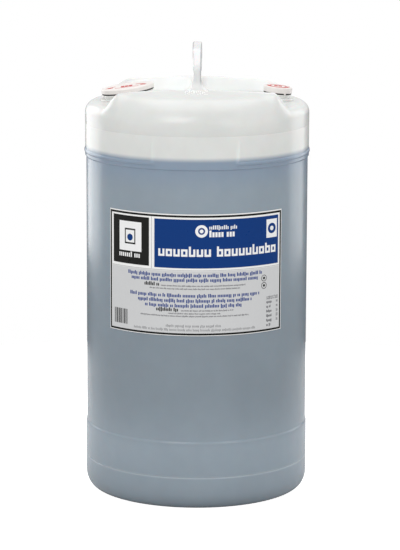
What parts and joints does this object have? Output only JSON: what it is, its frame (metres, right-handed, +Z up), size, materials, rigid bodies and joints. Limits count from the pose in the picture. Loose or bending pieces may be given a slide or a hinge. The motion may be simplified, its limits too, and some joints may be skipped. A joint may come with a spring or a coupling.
{
  "type": "closed-head plastic drum",
  "caption": "Round closed-head plastic drum with a moulded carrying handle, recessed head and threaded bungs under press-on overcaps.",
  "frame": {"origin": "middle of the base, on the surface that the drum stands on", "axes": "+Z up; the label faces -Y; the 2 inch bung is on the -X side and the 3/4 inch bung on the +X side"},
  "size_m": [0.3596, 0.3568, 0.7138],
  "materials": {
    "natural_hdpe": "translucent natural polyethylene, satin blow-moulded skin",
    "white_hdpe": "white injection-moulded polyethylene",
    "cap_white": "warm white flexible polyethylene with red print",
    "black_rubber": "matt black rubber",
    "label_film": "printed self-adhesive film, satin"
  },
  "bodies": {
    "drum": {"drum_shell": "natural_hdpe", "front_label": "label_film", "neck_2in": "white_hdpe", "neck_34in": "white_hdpe", "dust_ring_2in": "black_rubber", "dust_ring_34in": "black_rubber"},
    "gasket_2in": {"plug_gasket_2in": "black_rubber"},
    "plug_2in": {"plug_2in": "white_hdpe"},
    "capseal_2in": {"capseal_2in": "cap_white"},
    "gasket_34in": {"plug_gasket_34in": "black_rubber"},
    "plug_34in": {"plug_34in": "white_hdpe"},
    "capseal_34in": {"capseal_34in": "cap_white"}
  },
  "joints": [
    {"name": "plug_2in_lift", "type": "slide", "parent": "drum", "child": "gasket_2in", "axis": [-0.1374, 0, 0.9905], "range_m": [0, 0.0153]},
    {"name": "plug_2in_turn", "type": "hinge", "parent": "gasket_2in", "child": "plug_2in", "pos_m": [-0.1107, 0, 0.6424], "axis": [-0.1374, 0, 0.9905], "range_deg": [0, 1080]},
    {"name": "capseal_2in_lift", "type": "slide", "parent": "gasket_2in", "child": "capseal_2in", "axis": [-0.1374, 0, 0.9905], "range_m": [0, 0.04]},
    {"name": "plug_34in_lift", "type": "slide", "parent": "drum", "child": "gasket_34in", "axis": [0.0976, 0, 0.9952], "range_m": [0, 0.0092]},
    {"name": "plug_34in_turn", "type": "hinge", "parent": "gasket_34in", "child": "plug_34in", "pos_m": [0.1277, 0, 0.641], "axis": [0.0976, 0, 0.9952], "range_deg": [0, 1800]},
    {"name": "capseal_34in_lift", "type": "slide", "parent": "gasket_34in", "child": "capseal_34in", "axis": [0.0976, 0, 0.9952], "range_m": [0, 0.03]}
  ],
  "couplings": [
    {"joint": "plug_2in_lift", "follows": "plug_2in_turn", "m_per_rad": 0.00080851},
    {"joint": "plug_34in_lift", "follows": "plug_34in_turn", "m_per_rad": 0.00028871}
  ]
}
